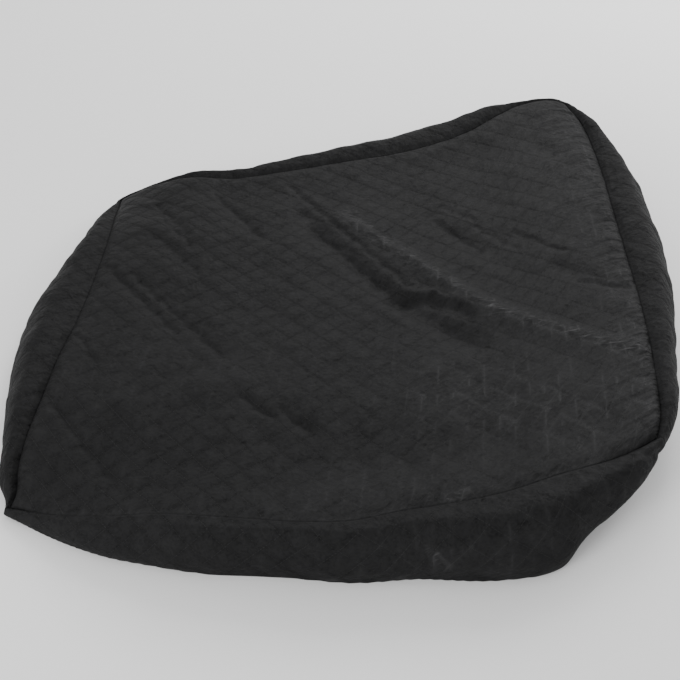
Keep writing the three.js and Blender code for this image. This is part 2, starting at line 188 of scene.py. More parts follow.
# The same for the skirts, in half diamonds along and down.
SKIRT_CRUMPLES = {
    "front": (
        (24.7, 2.9, 25.8, 4.3, 2.2, 14), (19.4, 4.3, 20.4, 4.8, 2.0, 10),
        (23.1, 4.7, 23.5, 5.3, 1.8, 9), (22.0, 3.2, 28.0, 3.6, 0.35, 90),
        (30.0, 3.0, 38.0, 2.5, 0.3, 120),
    ),
    "right": ((4.0, 1.5, 12.0, 1.5, 0.4, 90),),
}

# How high the gathers are that a seam draws in the cloth beside it, and how far they run.
SEAM_PULLS = {"front": (1.2, 50), "right": (2.6, 85), "back": (1.1, 45), "left": (1.1, 45)}
SKIRT_PULL = (1.2, 34)

# How far each seam is sunk between its panels, or raised if below zero, at even steps along it.
SEAM_SINKS = {
    "front": (8, -4, -7, -7, -7, -6, -5, -4, -4, -2, 4, 1, -3, -5, -5, 5, 7),
    "right": (7, 8, 8, 8, 7),
    "back": (7, 7, 7, 6, 3),
    "left": (3, 3, 6, 12, 8),
}

# Slow unevenness of all the cloth: heading of each wave, its length, its height and its phase.
LUMPS = (
    (12, 310, 1.6, 0.3), (71, 260, 1.5, 1.9), (128, 205, 1.2, 4.1),
    (165, 143, 0.9, 2.6), (38, 117, 0.8, 5.2), (97, 88, 0.6, 0.9),
)

# Waves in which a fold or crease strays from its straight line, and changes in height: size and
# length.
WIDE_STRAY = (3.5, 17.0)
FINE_STRAY = (2.0, 7.5)
HEIGHT_SWING = (0.12, 21.0)

# Gathers beside a seam: size, length and phase of the waves they wander in, their own size, length
# and wandering, and size, length and phase of their change in height.
PUCKER_WANDER = ((1.0, 173.0, 0.0), (0.7, 71.0, 1.3))
PUCKER_GATHERS = ((1.0, 10.4, 2.2), (0.6, 6.3, 3.1))
PUCKER_LEAST = 0.75
PUCKER_CHANGE = (0.5, 131.0, 0.6)
PUCKER_SHIFT = 700

# Gathers in the material, raised and with painted highlights and shade, and the painted highlight
# beside each seam: share of each seam's pull on the top, strength and run on a skirt.
TOP_GATHERS = 0.7
SKIRT_GATHERS = (0.5, 50.0)

# Where the skirts are cut from the roll of cloth, so that no two panels crease alike.
SKIRT_CUT_START = 2500.0
SKIRT_CUT_STEP = 500.0
LUMPS_SHIFT = 500
FAR_END_SHIFT = 800

# Quilting: the crinkles' noise, least height and spread of a pillow, seeds of the crinkles and of
# the stitches' lengths, and how free of seam and floor the cloth is where stitches start.
CRINKLES = {"Detail": 3.0, "Roughness": 0.55, "Distortion": 0.6}
PILLOW_LEAST = 0.55
PILLOW_SPREAD = 0.9
CRINKLE_SEED = 3.0
STITCH_SEED = 5
STITCHED_FROM = 0.45

# Finish of the cloths: specular level and tightness of the crumpling, then sheen and its
# roughness, then the darkest and lightest shares of the colour.
TOP_FINISH = (0.032, 0.9)
SKIRT_FINISH = (0.024, 1.5)
CLOTH_SHEEN = (0.01, 0.4)
SHADES = (0.35, 2.2)

# Streaks in the cloth: length and width in metres.
LINE_STREAKS = (0.04, 0.011)
SEAM_STREAKS = (0.07, 0.019)
END_STREAKS = (0.1, 0.02)
# Dashes along the crest: slightly raised, and much lighter with a painted highlight.
DASH_STREAKS = (0.045, 0.009)
DASH_HEADING = -20.0
DASH_LEVEL = 0.03
DASH_STRONGEST = 1.6

# Light strokes, slightly raised and lightened with a painted highlight: how fast they fade beside
# a line, patches to a metre, and the level of noise from which they show.
UPRIGHT_STROKES = (260.0, 14.0, 0.55)
FIRST_STROKES = (220.0, 10.0, 0.42)
SECOND_STROKES = (220.0, 12.0, 0.46)
SECOND_SHARE = 0.8
STROKES_EVERYWHERE = 0.08

# Noises of the cloth: how many to a metre, detail, and distortion.
NOISES = {"pleats": (56.0, 2.0, 1.1), "crinkles": (105.0, 2.0, 0.7)}
FINE_NOISES = {"fibres": (420.0, 2.0), "wear": (9.0, 3.0)}
FACETS_PER_METRE = 58.0

# Widths of a yarn and of a quilting groove in metres, and how fast things fade beside a line.
YARN = 0.0011
GROOVE = 0.004
GATHERS_FADE = 50.0
# How fast the painted shade beside a quilting line fades.
GROOVE_SHADE_FADE = 110.0

# How far each feature raises the cloth, in millimetres. The first ones grow with its tightness.
TIGHT_RELIEF = {"facets": 1.8, "pleats": -2.0, "crinkles": -1.0}
CRUMPLED_TIGHTNESS = 0.35
RELIEF = {
    "raised gathers": 1.3, "seam gathers": 5.5, "strokes": 0.9, "dashes": 10.0, "fibres": 0.3,
    "weave": 0.05, "groove": 0.3,
}

# How much each feature lightens the cloth, from dark at zero to light at one, and roughens it.
# Besides the plain tone and the wear and fibres, which vary at random, every tone here is painted
# light: painted highlights on crumpled parts, seams, strokes and dashes, painted highlights and
# shade on the gathers, painted highlights on the ridges of the pleats and crinkles with painted
# shade between them, and painted shade beside the quilting lines.
TONE = {
    "plain": 0.36, "wear": 0.3, "fibres": 0.15, "pleats": -0.9, "crinkles": -0.6, "crumpled": 0.1,
    "seam gathers": 0.8, "seam": 0.1, "strokes": 0.7, "dashes": 5.0, "gathers": 0.3,
    "groove shade": -0.17,
}
ROUGHNESS = {"plain": 0.46, "crinkles": 0.3, "wear": 0.14}

# Lights: name, width, power, place, and the point that each is turned to.
LIGHTS = (
    ("key_light", 4.0, 385.0, (1.4, 6.2, 4.9), (0.0, 0.0, 0.1)),
    ("side_light", 1.8, 85.0, (3.8, 3.0, 2.2), (0.3, 0.0, 0.1)),
    ("fill_light", 2.0, 150.0, (-3.6, -4.2, 2.6), (0.0, 0.0, 0.1)),
)
SKY_LIGHT = 0.92
FLOOR_LEVEL = -0.0006


def number(name, description, default, **kind):
    """A number that a user may change."""
    return FloatProperty(name=name, description=description, default=default, **kind)


def metres(name, description, default):
    """A size that a user may change."""
    return number(name, description, default, unit="LENGTH")


def tint(name, description, default):
    """A colour that a user may change."""
    return FloatVectorProperty(name=name, description=description, default=default, subtype="COLOR")


class TubCoverCloth(bpy.types.PropertyGroup):
    """Sizes and colours of the quilted cloth."""

    thickness: metres("Thickness at stitches", "Thickness of the cloth where it is stitched flat", 0.003)
    pillow_height: metres("Pillow height", "Rise of each quilted diamond on the outer face", 0.0018)
    pillow_inside: number(
        "Pillow height inside", "Share of the pillow height on the inner face", 0.45, subtype="FACTOR"
    )
    pillow_fullness: number(
        "Pillow fullness", "Power that rounds the pillows: lower is fuller", 0.62
    )
    crinkle_height: metres("Crinkle height", "Depth of the small crinkles on the pillows", 0.0015)
    crinkle_size: number("Crinkles per metre", "How many crinkles lie in a metre", 26.0)
    top_colour: tint("Top colour", "Colour of the top panel's face cloth", (0.0128, 0.0128, 0.0131))
    skirt_colour: tint("Skirt colour", "Colour of the skirt's face cloth", (0.0127, 0.0127, 0.013))


class TubCoverStitches(bpy.types.PropertyGroup):
    """Sizes and colour of the quilting thread."""

    pitch: metres("Stitch pitch", "Distance from one quilting stitch to the next", 0.0105)
    length: metres("Stitch length", "Length of the thread that shows at each stitch", 0.0075)
    radius: metres("Thread radius", "Half the thickness of the thread", 0.0006)
    colour: tint("Thread colour", "Colour of the quilting thread", (0.023, 0.023, 0.0235))


class TubCoverStage(bpy.types.PropertyGroup):
    """Camera and floor."""

    lens: number("Lens", "Focal length of the camera", 56.0, unit="CAMERA")
    camera_height: metres("Camera height", "Height of the camera over the floor", 2.45)
    camera_distance: metres(
        "Camera distance", "From the cover's centre forward to the camera, along the floor", 2.9602
    )
    camera_tilt: number(
        "Camera tilt", "How far the camera looks down from level", math.radians(41.0), subtype="ANGLE"
    )
    floor_size: metres("Floor size", "Width of the square floor", 24.0)
    floor_colour: tint("Floor colour", "Colour of the pale floor", (0.9, 0.9, 0.9))


class Field:
    """A node socket that takes part in Python arithmetic."""

    def __init__(self, maker, socket):
        self.maker = maker
        self.socket = socket

    def __add__(self, other):
        return self.maker.math("ADD", self, other)

    __radd__ = __add__

    def __sub__(self, other):
        return self.maker.math("SUBTRACT", self, other)

    def __rsub__(self, other):
        return self.maker.math("SUBTRACT", other, self)

    def __mul__(self, other):
        return self.maker.math("MULTIPLY", self, other)

    __rmul__ = __mul__

    def __truediv__(self, other):
        return self.maker.math("DIVIDE", self, other)

    def __pow__(self, other):
        return self.maker.math("POWER", self, other)

    def __abs__(self):
        return self.maker.math("ABSOLUTE", self)


class NodeMaker:
    """Adds nodes to a tree: a type, its settings, then the values or links of its sockets."""

    def __init__(self, tree):
        self.tree = tree

    def add(self, kind, settings=None, inputs=None):
        node = self.tree.nodes.new(kind)
        for name, value in (settings or {}).items():
            setattr(node, name, value)
        self.set_inputs(node, inputs or {})
        return node

    def set_inputs(self, node, inputs):
        for name, value in inputs.items():
            socket = node.inputs[name]
            if isinstance(value, Field):
                self.tree.links.new(value.socket, socket)
            else:
                socket.default_value = value

    def field(self, node, output=0):
        return Field(self, node.outputs[output])

    def out(self, kind, settings=None, inputs=None, output=0):
        """Adds a node and gives one of its outputs."""
        return self.field(self.add(kind, settings, inputs), output)

    def math(self, operation, *values):
        return self.out("ShaderNodeMath", {"operation": operation}, dict(enumerate(values)))

    def split(self, vector):
        node = self.add("ShaderNodeSeparateXYZ", inputs={0: vector})
        return [self.field(node, n) for n in range(3)]

    def shades(self, colour, darkest, lightest, light):
        """A colour between its darkest and lightest shares."""
        dark, pale = ((*(share * c for c in colour), 1.0) for share in (darkest, lightest))
        settings = {"data_type": "RGBA", "clamp_factor": False}
        return self.out("ShaderNodeMix", settings, {0: light, 6: dark, 7: pale}, 2)

    def bump(self, height, strength, distance):
        inputs = {"Height": height, "Strength": strength, "Distance": distance}
        return self.out("ShaderNodeBump", inputs=inputs)

    def noise(self, place, scale, detail, distortion=0.0):
        inputs = {"Vector": place, "Scale": scale, "Detail": detail, "Distortion": distortion}
        return self.out("ShaderNodeTexNoise", inputs=inputs)

    def streaks(self, place, heading, length, width):
        """Uneven streaks of a length and width in metres, lying along a heading in degrees."""
        turn = (0.0, 0.0, math.radians(heading))
        inputs = {"Vector": place, "Rotation": turn, "Scale": (length, width, 1.0)}
        turned = self.out("ShaderNodeMapping", {"vector_type": "TEXTURE"}, inputs)
        return self.noise(turned, 1.0, 1.0) - 0.5

    def fade(self, distance, rate):
        """One at a line, and less at a distance from it."""
        return self.math("EXPONENT", distance * -rate)

    def strokes(self, place, distance, rate, scale, level):
        """Strokes along a line, in scattered patches."""
        patches = self.math("GREATER_THAN", self.noise(place, scale, 0.0), level)
        return self.fade(distance, rate) * patches


def smooth_step(value):
    s = np.clip(value, 0.0, 1.0)
    return s * s * (3.0 - 2.0 * s)


def soft_curve(points, steps=40):
    """Dense points of a smooth curve through the given points, ends included."""
    points = np.asarray(points, float)
    held = np.vstack([2.0 * points[0] - points[1], points, 2.0 * points[-1] - points[-2]])
    share = np.linspace(0.0, 1.0, steps, endpoint=False)[:, None]
    pieces = []
    for k in range(1, len(held) - 2):
        p0, p1, p2, p3 = held[k - 1 : k + 3]
        gaps = [max(float(np.sum(way**2)) ** 0.25, 1e-4) for way in (p1 - p0, p2 - p1, p3 - p2)]
        before, gap, after = gaps
        start = (p1 - p0) / before - (p2 - p0) / (before + gap) + (p2 - p1) / gap
        end = (p2 - p1) / gap - (p3 - p1) / (gap + after) + (p3 - p2) / after
        start = start * gap
        end = end * gap
        square = share * share
        cube = square * share
        pieces.append(
            p1
            + start * share
            + (-3.0 * p1 + 3.0 * p2 - 2.0 * start - end) * square
            + (2.0 * p1 - 2.0 * p2 + start + end) * cube
        )
    pieces.append(points[-1:])
    return np.vstack(pieces)


def along_curve(dense, shares):
    """Points at shares of a dense curve's length."""
    steps = np.linalg.norm(np.diff(dense, axis=0), axis=1)
    run = np.concatenate([[0.0], np.cumsum(steps)])
    wanted = np.asarray(shares) * run[-1]
    return np.stack([np.interp(wanted, run, dense[:, n]) for n in range(dense.shape[1])], -1)


def column_at(rows, column, at):
    """One column of a skirt table at places along the side, smoothly joined from row to row."""
    places = np.array([row[0] for row in rows], float)
    values = np.array([row[column] for row in rows], float)
    ends = np.arange(len(rows))
    nearer = np.maximum(ends - 1, 0)
    further = np.minimum(ends + 1, len(rows) - 1)
    slopes = (values[further] - values[nearer]) / (places[further] - places[nearer])
    k = np.clip(np.searchsorted(places, at, side="left") - 1, 0, len(rows) - 2)
    span = places[k + 1] - places[k]
    s = (at - places[k]) / span
    rest = 1.0 - s
    held = (1.0 + 2.0 * s) * rest * rest * values[k] + s * s * (3.0 - 2.0 * s) * values[k + 1]
    return held + s * rest * rest * span * slopes[k] - s * s * rest * span * slopes[k + 1]


def wave(way, size, length, phase):
    return size * np.sin(way / length + phase)


def bump_along(x, y, rows):
    """Height of soft, nearly straight ridges and troughs over plan points."""
    height = np.zeros_like(x)
    for from_x, from_y, to_x, to_y, rise, width in rows:
        along_x = to_x - from_x
        along_y = to_y - from_y
        length = math.hypot(along_x, along_y)
        run = ((x - from_x) * along_x + (y - from_y) * along_y) / length
        aside = ((x - from_x) * along_y - (y - from_y) * along_x) / length
        aside += wave(run, *WIDE_STRAY, from_x) + wave(run, *FINE_STRAY, from_y)
        past = np.maximum(np.maximum(-run, run - length), 0.0)
        share = 1.0 - HEIGHT_SWING[0] + wave(run, *HEIGHT_SWING, from_y)
        height += rise * share * np.exp(-((aside / width) ** 2) - (past / width) ** 2)
    return height


def lumps(across, down):
    """Slow unevenness of the cloth at places given in millimetres of cloth."""
    height = np.zeros_like(across)
    for heading, length, rise, phase in LUMPS:
        angle = math.radians(heading)
        way = across * math.cos(angle) + down * math.sin(angle)
        height += rise * np.sin(2.0 * math.pi * way / length + phase)
    return height


def puckers(along, distance, strength, run):
    """Gathers that a seam draws in the cloth beside it, at millimetres along and from the seam."""
    wander = sum(wave(along, *row) for row in PUCKER_WANDER)
    gathers = sum(wave(along, size, length, sway * wander) for size, length, sway in PUCKER_GATHERS)
    height = strength * (PUCKER_LEAST + wave(along, *PUCKER_CHANGE))
    return height * gathers * np.exp(-distance / run) * smooth_step(distance / PUCKERS_BLEND)


def sink(side, share, distance):
    """How far the cloth goes down at a share of a seam and a distance from it."""
    depths = SEAM_SINKS[side]
    depth = np.interp(share, np.linspace(0.0, 1.0, len(depths)), depths)
    return depth * np.exp(-((distance / SINK_WIDTH) ** 2))


def unit(vectors):
    return vectors / np.maximum(np.linalg.norm(vectors, axis=-1, keepdims=True), 1e-9)


def grid_normals(grid):
    """Unit normals of a grid of points."""
    return unit(np.cross(np.gradient(grid, axis=0), np.gradient(grid, axis=1)))


def shares_along(steps):
    """Shares of a side's length, with a number of steps to a half diamond."""
    return np.linspace(0.0, 1.0, CELLS * steps + 1)


def next_side(side):
    return SIDES[(SIDES.index(side) + 1) % len(SIDES)]


@lru_cache
def seam_curve(side):
    """A dense curve along one seam, up to where the next one starts."""
    return soft_curve(SEAMS[side] + SEAMS[next_side(side)][:1])


def seam(side, shares):
    """Points at shares of a seam's length, in millimetres."""
    return along_curve(seam_curve(side), shares)


def top_grid(steps):
    """Grid of the top panel, with the given number of steps to a half diamond."""
    share = shares_along(steps)
    u = share[:, None, None]
    v = share[None, :, None]
    front = seam("front", share)[:, None, :]
    back = seam("back", 1.0 - share)[:, None, :]
    left = seam("left", 1.0 - share)[None, :, :]
    right = seam("right", share)[None, :, :]
    grid = front * (1 - v) + back * v + left * (1 - u) + right * u
    grid = grid - front[0, 0] * (1 - u) * (1 - v) - front[-1, 0] * u * (1 - v)
    grid = grid - back[0, 0] * (1 - u) * v - back[-1, 0] * u * v
    cells = share * CELLS
    across, down = np.meshgrid(cells, cells, indexing="ij")
    inside = np.minimum(np.minimum(across, down), CELLS - np.maximum(across, down))
    bowl = np.clip((16 * u * (1 - u) * v * (1 - v))[..., 0], 0, 1) ** SAG_ROUNDNESS
    edge = inside * np.exp(1 - inside) * EDGE_SWELL
    folds = bump_along(grid[..., 0], grid[..., 1], FOLDS)
    grid[..., 2] += edge - SAG_DEPTH * bowl + smooth_step(inside / FOLDS_BLEND) * folds
    return grid, across, down, inside


def outward(side, share):
    """Plan directions square to the seam, away from the top panel."""
    reach = 1.0 / CELLS
    before = seam(side, np.clip(share - reach, 0, 1))
    after = seam(side, np.clip(share + reach, 0, 1))
    return unit(np.stack([after[:, 1] - before[:, 1], before[:, 0] - after[:, 0]], -1))


def headings(side, share):
    """Plan directions in which the skirt leaves the seam."""
    way = outward(side, share)
    first = smooth_step(1 - share / CORNER_BLEND)[:, None]
    last = smooth_step(1 - (1 - share) / CORNER_BLEND)[:, None]
    way = way * (1 - first - last)
    for n, near in enumerate((first, last)):
        angle = math.radians((FIRST_CORNER_HEADING + 90 * (SIDES.index(side) + n)) % 360)
        way = way + near * np.array([math.cos(angle), math.sin(angle)])
    return unit(way)


def skirt_grid(side, steps):
    """Grid of a skirt panel, from its last corner to its first, seam to hem."""
    count = CELLS * steps
    rows = SKIRT_ROWS * steps
    share = np.linspace(1.0, 0.0, count + 1)
    start = seam(side, share)
    heading = headings(side, share)
    rise, reach, swell, foot = (column_at(SKIRTS[side], n, share) for n in range(1, 5))
    grid = np.zeros((count + 1, rows + 1, 3))
    for n in range(count + 1):
        height = start[n, 2]
        corners = (
            (0.0, height),
            (reach[n] * SHOULDER_REACH, height + rise[n]),
            (reach[n], swell[n] * height),
            (foot[n], 0.0),
        )
        profile = soft_curve(corners, steps=16)
        drop = float(np.linalg.norm(np.diff(profile, axis=0), axis=1).sum())
        hem = float(np.clip(SKIRT_DEPTH - drop, HEM_SHORTEST, HEM_LONGEST))
        whole = np.vstack([profile, [foot[n] - hem, 0.0]])
        line = along_curve(whole, np.linspace(0.0, 1.0, rows + 1))
        grid[n, :, 0] = start[n, 0] + heading[n, 0] * line[:, 0]
        grid[n, :, 1] = start[n, 1] + heading[n, 1] * line[:, 0]
        grid[n, :, 2] = np.maximum(line[:, 1], 0.0)
    cells = share * CELLS
    across, down = np.meshgrid(cells, np.linspace(0.0, SKIRT_ROWS, rows + 1), indexing="ij")
    return grid, across, down


def in_metres(points):
    """Points of the tables' coordinates as points of the finished part."""
    moved = np.array(points, float)
    moved[..., 0] -= CENTRE_X
    moved[..., 1] -= CENTRE_Y
    return moved * MM


def square_to(vectors, directions):
    """Vectors with what they have of other unit directions taken out, made unit again."""
    share = np.sum(vectors * directions, axis=-1, keepdims=True)
    return unit(vectors - share * directions)


def top_edge(side, grid):
    """The edge of a top panel's grid along one side, in the order of the side's stations."""
    edges = {"front": grid[:, 0], "right": grid[-1], "back": grid[::-1, -1], "left": grid[0, ::-1]}
    return edges[side]


def flat_vectors(plan):
    return np.concatenate([plan, np.zeros((len(plan), 1))], -1)


@lru_cache
def seam_frames():
    """Directions at each station of the seams: out of the cloth, and from top to skirt."""
    top_normals = grid_normals(top_grid(1)[0])
    share = shares_along(1)
    frames = {}
    for side in SIDES:
        skirt_normals = grid_normals(skirt_grid(side, 1)[0])[::-1, 0]
        normal = unit(top_edge(side, top_normals) + skirt_normals)
        across = square_to(flat_vectors(outward(side, share)), normal)
        frames[side] = [normal, across]
    for side in SIDES:
        here = frames[side]
        there = frames[next_side(side)]
        normal = unit(here[0][-1] + there[0][0])
        across = square_to(here[1][-1] + there[1][0], normal)
        here[0][-1] = there[0][0] = normal
        here[1][-1] = there[1][0] = across
    return frames


def frames_at(side, share):
    """Seam directions at any shares of a side."""
    stations = shares_along(1)
    found = []
    for vectors in seam_frames()[side]:
        between = [np.interp(share, stations, vectors[:, n]) for n in range(3)]
        found.append(unit(np.stack(between, -1)))
    return found


class PanelCloth:
    """Both faces of one cut panel, in millimetres, and their places on flat cloth, in metres."""

    def __init__(self, name, steps, grid, normals, place, free, pull, thickness):
        self.name = name
        self.steps = steps
        self.outer = grid
        self.inner = grid - normals * thickness
        self.normals = normals
        self.place = np.stack([*place, np.zeros_like(free)], -1) * MM
        self.free = free
        self.pull = np.stack(pull, -1)


def top_cloth(thickness):
    """The top panel with its creases, seam puckers and unevenness."""
    grid, across, down, inside = top_grid(FINE_TOP)
    x = across * HALF_DIAMOND
    y = down * HALF_DIAMOND
    reach = inside * HALF_DIAMOND
    lift = bump_along(grid[..., 0], grid[..., 1], CREASES) + lumps(x, y)
    distances = {"front": y, "right": SIDE_LENGTH - x, "back": SIDE_LENGTH - y, "left": x}
    pulls = {}
    for n, (side, distance) in enumerate(distances.items()):
        strength, run = SEAM_PULLS[side]
        lift += puckers((y if n % 2 else x) + PUCKER_SHIFT * n, distance, strength, run)
        pulls[side] = TOP_GATHERS * strength * np.exp(-distance / run)
    lift *= smooth_step(reach / TOP_CREASES_BLEND)
    grid = grid + grid_normals(grid) * lift[..., None]
    u = across / CELLS
    v = down / CELLS
    near_ends = sink("front", u, y) + sink("back", 1 - u, distances["back"])
    near_sides = sink("right", v, distances["right"]) + sink("left", 1 - v, x)
    beside_ends = reach == np.minimum(y, distances["back"])
    grid[..., 2] -= np.where(beside_ends, near_ends, near_sides)
    crumple = bump_along(grid[..., 0], grid[..., 1], TOP_CRUMPLES)
    pull = (pulls["front"] + pulls["back"], pulls["left"] + pulls["right"], crumple)
    free = smooth_step(reach / PILLOWS_BLEND)
    normals = grid_normals(grid)
    cloth = PanelCloth("top_panel", FINE_TOP, grid, normals, (x, y), free, pull, thickness)
    for side in SIDES:
        normal, way = frames_at(side, shares_along(FINE_TOP))
        edge = top_edge(side, grid) - way * SEAM_GAP / 2
        top_edge(side, cloth.outer)[:] = edge
        top_edge(side, cloth.inner)[:] = edge - normal * thickness
    return cloth


def on_skirt(side, table):
    """Rows of a skirt table for one side, with their ends in millimetres of cloth."""
    return [[end * HALF_DIAMOND for end in row[:4]] + [*row[4:]] for row in table.get(side, ())]


def skirt_cloth(side, thickness):
    """A skirt panel with its creases, seam puckers and unevenness."""
    start = SKIRT_CUT_START + SKIRT_CUT_STEP * SIDES.index(side)
    grid, across, down = skirt_grid(side, FINE_SKIRT)
    x = across * HALF_DIAMOND
    y = down * HALF_DIAMOND
    lift = bump_along(x, y, on_skirt(side, SKIRT_CREASES)) + lumps(x + LUMPS_SHIFT, y + start)
    for along, distance in ((x, y), (y, x), (y + FAR_END_SHIFT, SIDE_LENGTH - x)):
        lift += puckers(along + start, distance, *SKIRT_PULL)
    ends = np.minimum(x, SIDE_LENGTH - x)
    near_floor = smooth_step(grid[..., 2] / FLOOR_BLEND)
    inside = smooth_step(y / SKIRT_CREASES_BLEND)
    lift *= near_floor * inside * smooth_step(ends / SKIRT_CREASES_BLEND)
    grid = grid + grid_normals(grid) * lift[..., None]
    grid[..., 2] -= sink(side, across / CELLS, y)
    grid[..., 2] = np.maximum(grid[..., 2], 0.0)
    normals = grid_normals(grid)
    normals[grid[..., 2] < MM] = (0.0, 0.0, -1.0)
    share = np.linspace(1.0, 0.0, CELLS * FINE_SKIRT + 1)
    normal, way = frames_at(side, share)
    grid[:, 0] += way * SEAM_GAP / 2
    normals[:, 0] = normal
    ways = flat_vectors(headings(side, share))
    for column, shift in ((0, -SEAM_GAP / 2), (-1, SEAM_GAP / 2)):
        along = np.array([-ways[column, 1], ways[column, 0], 0.0])
        grid[column] += along * shift
        normals[column] = square_to(normals[column], along)
    free = near_floor * smooth_step(y / PILLOWS_BLEND) * smooth_step(ends / PILLOWS_BLEND)
    crumple = bump_along(x, y, on_skirt(side, SKIRT_CRUMPLES))
    strength, run = SKIRT_GATHERS
    pull = (strength * np.exp(-y / run), strength * np.exp(-ends / run), crumple)
    place = (x, y + start)
    cloth = PanelCloth("skirt_" + side, FINE_SKIRT, grid, normals, place, free, pull, thickness)
    cloth.inner[..., 2] = np.maximum(cloth.inner[..., 2], 0.0)
    return cloth


@lru_cache
def cut_panels():
    """All five panels, by name."""
    thickness = bpy.context.scene.tub_cover_cloth.thickness / MM
    panels = [top_cloth(thickness)] + [skirt_cloth(side, thickness) for side in SIDES]
    return {cloth.name: cloth for cloth in panels}


def face_triangles(columns, rows, steps, flip, first_vertex):
    """Triangles of one face of a panel, split along the quilting lines."""
    i, j = np.indices((columns - 1, rows - 1)).reshape(2, -1)
    corners = i * rows + j + np.array([[0], [rows], [rows + 1], [1]])
    turned = ((i // steps + j // steps) % 2 == 1)[None, :]
    ring = np.where(turned, np.roll(corners, -1, axis=0), corners) + first_vertex
    order = ((0, 2, 1), (0, 3, 2)) if flip else ((0, 1, 2), (0, 2, 3))
    return np.concatenate([ring[list(trio)].T for trio in order])


def rim_stations(columns, rows):
    """Grid places round the rim of a panel, in order."""
    first = [(i, 0) for i in range(columns - 1)] + [(columns - 1, j) for j in range(rows - 1)]
    return first + [(columns - 1 - i, rows - 1 - j) for i, j in first]


def panel_mesh(cloth, inner_share):
    """Closed mesh of a panel: a fine outer face, a plainer inner face, and a rim."""
    columns, rows = cloth.outer.shape[:2]
    inner = cloth.inner[::2, ::2]
    inner_rows = inner.shape[1]
    first_inner = columns * rows
    place, pull = (
        np.concatenate([grid.reshape(-1, 3), grid[::2, ::2].reshape(-1, 3)])
        for grid in (cloth.place, cloth.pull)
    )
    points = np.concatenate([cloth.outer.reshape(-1, 3), inner.reshape(-1, 3)])
    free = np.concatenate([cloth.free.ravel(), cloth.free[::2, ::2].ravel() * inner_share])
    outside = face_triangles(columns, rows, cloth.steps, False, 0)
    inside = face_triangles(*inner.shape[:2], cloth.steps // 2, True, first_inner)
    faces = outside.tolist() + inside.tolist()
    ring = rim_stations(columns, rows)
    for n in range(0, len(ring), 2):
        start, middle, end = ring[n], ring[n + 1], ring[(n + 2) % len(ring)]
        below = [first_inner + i // 2 * inner_rows + j // 2 for i, j in (start, end)]
        outer = [i * rows + j for i, j in (start, end, middle)]
        faces.append([outer[0], *below, *outer[1:]])
    mesh = bpy.data.meshes.new(cloth.name)
    mesh.from_pydata(in_metres(points), [], faces)
    rounded = np.arange(len(faces)) < len(faces) - len(ring) // 2
    mesh.polygons.foreach_set("use_smooth", rounded)
    for name, values in (("cloth_place", place), ("seam_pull", pull)):
        mesh.attributes.new(name, "FLOAT_VECTOR", "POINT").data.foreach_set("vector", values.ravel())
    mesh.attributes.new("swell", "FLOAT", "POINT").data.foreach_set("value", free)
    vertex_of_loop = np.empty(len(mesh.loops), dtype=np.int32)
    mesh.loops.foreach_get("vertex_index", vertex_of_loop)
    mesh.uv_layers.new(name="Cloth").data.foreach_set("uv", place[vertex_of_loop, :2].ravel())
    return mesh


def new_tree(name, sizes, seed):
    """A Geometry Nodes tree with named inputs: its maker, the inputs, and their identifiers."""
    kinds = {**dict.fromkeys(sizes, "NodeSocketFloat"), "Seed": seed, "Material": "NodeSocketMaterial"}
    tree = bpy.data.node_groups.new(name, "GeometryNodeTree")
    tree.interface.new_socket("Geometry", in_out="INPUT", socket_type="NodeSocketGeometry")
    sockets = {}
    for size, kind in kinds.items():
        socket = tree.interface.new_socket(size, in_out="INPUT", socket_type=kind)
        sockets[size] = socket.identifier
    tree.interface.new_socket("Geometry", in_out="OUTPUT", socket_type="NodeSocketGeometry")
    maker = NodeMaker(tree)
    group = maker.add("NodeGroupInput")
    given = {label: maker.field(group, label) for label in ("Geometry", *kinds)}
    return maker, given, sockets


def named_value(maker, name, kind):
    return maker.out("GeometryNodeInputNamedAttribute", {"data_type": kind}, {"Name": name})


def end_tree(maker, geometry, material):
    """Closes a tree: instances made real, and the material set."""
    real = maker.out("GeometryNodeRealizeInstances", inputs={"Geometry": geometry})
    inputs = {"Geometry": real, "Material": material}
    dyed = maker.out("GeometryNodeSetMaterial", inputs=inputs)
    maker.add("NodeGroupOutput", inputs={"Geometry": dyed})


def quilting_tree():
    """Raises the pillows between the quilting lines, with small crinkles on them."""
    sizes = ("Pillow height", "Pillow fullness", "Crinkle height", "Crinkles per metre")
    maker, given, sockets = new_tree("Quilting", sizes, "NodeSocketFloat")
    place = named_value(maker, "cloth_place", "FLOAT_VECTOR")
    across, down, _ = maker.split(place)
    first = abs(maker.math("SINE", (across + down) * (math.pi / DIAMOND)))
    second = abs(maker.math("SINE", (across - down) * (math.pi / DIAMOND)))
    pillow = (first * second) ** given["Pillow fullness"]
    seeded = {"Vector": place, "W": given["Seed"]}
    crinkles = {**seeded, "Scale": given["Crinkles per metre"], **CRINKLES}
    crinkle = maker.out("ShaderNodeTexNoise", {"noise_dimensions": "4D"}, crinkles) - 0.5
    crinkle = crinkle * 2.0 * given["Crinkle height"]
    pillows = {**seeded, "Scale": 7.0, "Detail": 1.0}
    unevenness = maker.out("ShaderNodeTexNoise", {"noise_dimensions": "4D"}, pillows)
    share = PILLOW_LEAST + unevenness * PILLOW_SPREAD
    height = given["Pillow height"] * share
    rise = (height * pillow + crinkle * pillow) * named_value(maker, "swell", "FLOAT")
    scaled = {0: maker.out("GeometryNodeInputNormal"), "Scale": rise}
    move = maker.out("ShaderNodeVectorMath", {"operation": "SCALE"}, scaled)
    moved = {"Geometry": given["Geometry"], "Offset": move}
    lifted = maker.out("GeometryNodeSetPosition", inputs=moved)
    lowest = (-100.0, -100.0, 0.0)
    places = {0: maker.out("GeometryNodeInputPosition"), 1: lowest}
    kept = maker.out("ShaderNodeVectorMath", {"operation": "MAXIMUM"}, places)
    clear = maker.out("GeometryNodeSetPosition", inputs={"Geometry": lifted, "Position": kept})
    end_tree(maker, clear, given["Material"])
    return maker.tree, sockets


